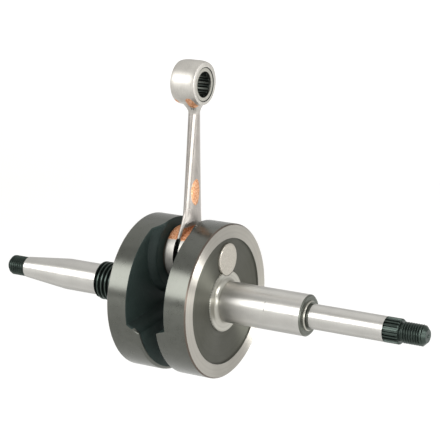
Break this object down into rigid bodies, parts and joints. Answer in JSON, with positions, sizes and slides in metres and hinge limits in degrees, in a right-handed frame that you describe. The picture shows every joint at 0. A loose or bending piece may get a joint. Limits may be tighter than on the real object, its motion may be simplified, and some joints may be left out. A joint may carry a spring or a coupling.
{
  "type": "built-up crankshaft with connecting rod",
  "caption": "Built-up two-stroke crankshaft: two round webs with counterweights, pressed crankpin, connecting rod on needle rollers, splined drive shaft and tapered flywheel shaft.",
  "frame": {"origin": "on the crank axis, midway between the outer faces of the two webs, which is the crankcase's split plane", "axes": "+X along the crank axis towards the drive side, +Z from the crank axis towards the crankpin, +Y across"},
  "size_m": [0.235, 0.0754, 0.1525],
  "materials": {
    "crank_steel": "black-oxide forging with ground journals, faces and taper",
    "ground_steel": "ground",
    "rod_steel": "polished forging with copper-masked patches",
    "cage_steel": "satin",
    "roller_steel": "polished",
    "washer_bronze": "satin"
  },
  "bodies": {
    "crank": {"drive_half_crank": "crank_steel", "flywheel_half_crank": "crank_steel", "crankpin": "ground_steel"},
    "rod": {"connecting_rod": "rod_steel"},
    "big_cage": {"big_end_cage": "cage_steel"},
    "washer_drive": {"thrust_washer_drive_side": "washer_bronze"},
    "washer_flywheel": {"thrust_washer_flywheel_side": "washer_bronze"},
    "small_cage": {"small_end_cage": "cage_steel"},
    "big_roller_1": {"big_end_roller_1": "roller_steel"},
    "big_roller_2": {"big_end_roller_2": "roller_steel"},
    "big_roller_3": {"big_end_roller_3": "roller_steel"},
    "big_roller_4": {"big_end_roller_4": "roller_steel"},
    "big_roller_5": {"big_end_roller_5": "roller_steel"},
    "big_roller_6": {"big_end_roller_6": "roller_steel"},
    "big_roller_7": {"big_end_roller_7": "roller_steel"},
    "big_roller_8": {"big_end_roller_8": "roller_steel"},
    "big_roller_9": {"big_end_roller_9": "roller_steel"},
    "big_roller_10": {"big_end_roller_10": "roller_steel"},
    "big_roller_11": {"big_end_roller_11": "roller_steel"},
    "big_roller_12": {"big_end_roller_12": "roller_steel"},
    "big_roller_13": {"big_end_roller_13": "roller_steel"},
    "big_roller_14": {"big_end_roller_14": "roller_steel"},
    "small_needle_1": {"small_end_needle_1": "roller_steel"},
    "small_needle_2": {"small_end_needle_2": "roller_steel"},
    "small_needle_3": {"small_end_needle_3": "roller_steel"},
    "small_needle_4": {"small_end_needle_4": "roller_steel"},
    "small_needle_5": {"small_end_needle_5": "roller_steel"},
    "small_needle_6": {"small_end_needle_6": "roller_steel"},
    "small_needle_7": {"small_end_needle_7": "roller_steel"},
    "small_needle_8": {"small_end_needle_8": "roller_steel"},
    "small_needle_9": {"small_end_needle_9": "roller_steel"},
    "small_needle_10": {"small_end_needle_10": "roller_steel"},
    "small_needle_11": {"small_end_needle_11": "roller_steel"},
    "small_needle_12": {"small_end_needle_12": "roller_steel"},
    "small_needle_13": {"small_end_needle_13": "roller_steel"},
    "small_needle_14": {"small_end_needle_14": "roller_steel"}
  },
  "joints": [
    {"name": "rod_swing", "type": "hinge", "parent": "crank", "child": "rod", "pos_m": [0, 0, 0.0205], "axis": [1, 0, 0], "continuous": true},
    {"name": "big_cage_spin", "type": "hinge", "parent": "crank", "child": "big_cage", "pos_m": [0, 0, 0.0205], "axis": [1, 0, 0], "continuous": true},
    {"name": "washer_drive_spin", "type": "hinge", "parent": "crank", "child": "washer_drive", "pos_m": [0, 0, 0.0205], "axis": [1, 0, 0], "continuous": true},
    {"name": "washer_flywheel_spin", "type": "hinge", "parent": "crank", "child": "washer_flywheel", "pos_m": [0, 0, 0.0205], "axis": [1, 0, 0], "continuous": true},
    {"name": "small_cage_spin", "type": "hinge", "parent": "rod", "child": "small_cage", "pos_m": [0, -0.00434, 0.10329], "axis": [1, 0, 0], "continuous": true},
    {"name": "big_roller_1_spin", "type": "hinge", "parent": "big_cage", "child": "big_roller_1", "pos_m": [0, 0, 0.02975], "axis": [1, 0, 0], "continuous": true},
    {"name": "big_roller_2_spin", "type": "hinge", "parent": "big_cage", "child": "big_roller_2", "pos_m": [0, -0.00401, 0.02883], "axis": [1, 0, 0], "continuous": true},
    {"name": "big_roller_3_spin", "type": "hinge", "parent": "big_cage", "child": "big_roller_3", "pos_m": [0, -0.00723, 0.02627], "axis": [1, 0, 0], "continuous": true},
    {"name": "big_roller_4_spin", "type": "hinge", "parent": "big_cage", "child": "big_roller_4", "pos_m": [0, -0.00902, 0.02256], "axis": [1, 0, 0], "continuous": true},
    {"name": "big_roller_5_spin", "type": "hinge", "parent": "big_cage", "child": "big_roller_5", "pos_m": [0, -0.00902, 0.01844], "axis": [1, 0, 0], "continuous": true},
    {"name": "big_roller_6_spin", "type": "hinge", "parent": "big_cage", "child": "big_roller_6", "pos_m": [0, -0.00723, 0.01473], "axis": [1, 0, 0], "continuous": true},
    {"name": "big_roller_7_spin", "type": "hinge", "parent": "big_cage", "child": "big_roller_7", "pos_m": [0, -0.00401, 0.01217], "axis": [1, 0, 0], "continuous": true},
    {"name": "big_roller_8_spin", "type": "hinge", "parent": "big_cage", "child": "big_roller_8", "pos_m": [0, 0, 0.01125], "axis": [1, 0, 0], "continuous": true},
    {"name": "big_roller_9_spin", "type": "hinge", "parent": "big_cage", "child": "big_roller_9", "pos_m": [0, 0.00401, 0.01217], "axis": [1, 0, 0], "continuous": true},
    {"name": "big_roller_10_spin", "type": "hinge", "parent": "big_cage", "child": "big_roller_10", "pos_m": [0, 0.00723, 0.01473], "axis": [1, 0, 0], "continuous": true},
    {"name": "big_roller_11_spin", "type": "hinge", "parent": "big_cage", "child": "big_roller_11", "pos_m": [0, 0.00902, 0.01844], "axis": [1, 0, 0], "continuous": true},
    {"name": "big_roller_12_spin", "type": "hinge", "parent": "big_cage", "child": "big_roller_12", "pos_m": [0, 0.00902, 0.02256], "axis": [1, 0, 0], "continuous": true},
    {"name": "big_roller_13_spin", "type": "hinge", "parent": "big_cage", "child": "big_roller_13", "pos_m": [0, 0.00723, 0.02627], "axis": [1, 0, 0], "continuous": true},
    {"name": "big_roller_14_spin", "type": "hinge", "parent": "big_cage", "child": "big_roller_14", "pos_m": [0, 0.00401, 0.02883], "axis": [1, 0, 0], "continuous": true},
    {"name": "small_needle_1_spin", "type": "hinge", "parent": "small_cage", "child": "small_needle_1", "pos_m": [0, -0.00471, 0.11031], "axis": [1, 0, 0], "continuous": true},
    {"name": "small_needle_2_spin", "type": "hinge", "parent": "small_cage", "child": "small_needle_2", "pos_m": [0, -0.00772, 0.10945], "axis": [1, 0, 0], "continuous": true},
    {"name": "small_needle_3_spin", "type": "hinge", "parent": "small_cage", "child": "small_needle_3", "pos_m": [0, -0.01006, 0.10738], "axis": [1, 0, 0], "continuous": true},
    {"name": "small_needle_4_spin", "type": "hinge", "parent": "small_cage", "child": "small_needle_4", "pos_m": [0, -0.01126, 0.10449], "axis": [1, 0, 0], "continuous": true},
    {"name": "small_needle_5_spin", "type": "hinge", "parent": "small_cage", "child": "small_needle_5", "pos_m": [0, -0.0111, 0.10137], "axis": [1, 0, 0], "continuous": true},
    {"name": "small_needle_6_spin", "type": "hinge", "parent": "small_cage", "child": "small_needle_6", "pos_m": [0, -0.0096, 0.09862], "axis": [1, 0, 0], "continuous": true},
    {"name": "small_needle_7_spin", "type": "hinge", "parent": "small_cage", "child": "small_needle_7", "pos_m": [0, -0.00705, 0.0968], "axis": [1, 0, 0], "continuous": true},
    {"name": "small_needle_8_spin", "type": "hinge", "parent": "small_cage", "child": "small_needle_8", "pos_m": [0, -0.00397, 0.09627], "axis": [1, 0, 0], "continuous": true},
    {"name": "small_needle_9_spin", "type": "hinge", "parent": "small_cage", "child": "small_needle_9", "pos_m": [0, -0.00096, 0.09712], "axis": [1, 0, 0], "continuous": true},
    {"name": "small_needle_10_spin", "type": "hinge", "parent": "small_cage", "child": "small_needle_10", "pos_m": [0, 0.00138, 0.0992], "axis": [1, 0, 0], "continuous": true},
    {"name": "small_needle_11_spin", "type": "hinge", "parent": "small_cage", "child": "small_needle_11", "pos_m": [0, 0.00259, 0.10208], "axis": [1, 0, 0], "continuous": true},
    {"name": "small_needle_12_spin", "type": "hinge", "parent": "small_cage", "child": "small_needle_12", "pos_m": [0, 0.00242, 0.10521], "axis": [1, 0, 0], "continuous": true},
    {"name": "small_needle_13_spin", "type": "hinge", "parent": "small_cage", "child": "small_needle_13", "pos_m": [0, 0.00092, 0.10795], "axis": [1, 0, 0], "continuous": true},
    {"name": "small_needle_14_spin", "type": "hinge", "parent": "small_cage", "child": "small_needle_14", "pos_m": [0, -0.00162, 0.10977], "axis": [1, 0, 0], "continuous": true}
  ],
  "couplings": [
    {"joint": "big_cage_spin", "follows": "rod_swing", "ratio": 0.5676},
    {"joint": "big_roller_1_spin", "follows": "rod_swing", "ratio": 3.7218},
    {"joint": "big_roller_2_spin", "follows": "rod_swing", "ratio": 3.7218},
    {"joint": "big_roller_3_spin", "follows": "rod_swing", "ratio": 3.7218},
    {"joint": "big_roller_4_spin", "follows": "rod_swing", "ratio": 3.7218},
    {"joint": "big_roller_5_spin", "follows": "rod_swing", "ratio": 3.7218},
    {"joint": "big_roller_6_spin", "follows": "rod_swing", "ratio": 3.7218},
    {"joint": "big_roller_7_spin", "follows": "rod_swing", "ratio": 3.7218},
    {"joint": "big_roller_8_spin", "follows": "rod_swing", "ratio": 3.7218},
    {"joint": "big_roller_9_spin", "follows": "rod_swing", "ratio": 3.7218},
    {"joint": "big_roller_10_spin", "follows": "rod_swing", "ratio": 3.7218},
    {"joint": "big_roller_11_spin", "follows": "rod_swing", "ratio": 3.7218},
    {"joint": "big_roller_12_spin", "follows": "rod_swing", "ratio": 3.7218},
    {"joint": "big_roller_13_spin", "follows": "rod_swing", "ratio": 3.7218},
    {"joint": "big_roller_14_spin", "follows": "rod_swing", "ratio": 3.7218},
    {"joint": "small_needle_1_spin", "follows": "small_cage_spin", "ratio": -8.5106},
    {"joint": "small_needle_2_spin", "follows": "small_cage_spin", "ratio": -8.5106},
    {"joint": "small_needle_3_spin", "follows": "small_cage_spin", "ratio": -8.5106},
    {"joint": "small_needle_4_spin", "follows": "small_cage_spin", "ratio": -8.5106},
    {"joint": "small_needle_5_spin", "follows": "small_cage_spin", "ratio": -8.5106},
    {"joint": "small_needle_6_spin", "follows": "small_cage_spin", "ratio": -8.5106},
    {"joint": "small_needle_7_spin", "follows": "small_cage_spin", "ratio": -8.5106},
    {"joint": "small_needle_8_spin", "follows": "small_cage_spin", "ratio": -8.5106},
    {"joint": "small_needle_9_spin", "follows": "small_cage_spin", "ratio": -8.5106},
    {"joint": "small_needle_10_spin", "follows": "small_cage_spin", "ratio": -8.5106},
    {"joint": "small_needle_11_spin", "follows": "small_cage_spin", "ratio": -8.5106},
    {"joint": "small_needle_12_spin", "follows": "small_cage_spin", "ratio": -8.5106},
    {"joint": "small_needle_13_spin", "follows": "small_cage_spin", "ratio": -8.5106},
    {"joint": "small_needle_14_spin", "follows": "small_cage_spin", "ratio": -8.5106}
  ]
}
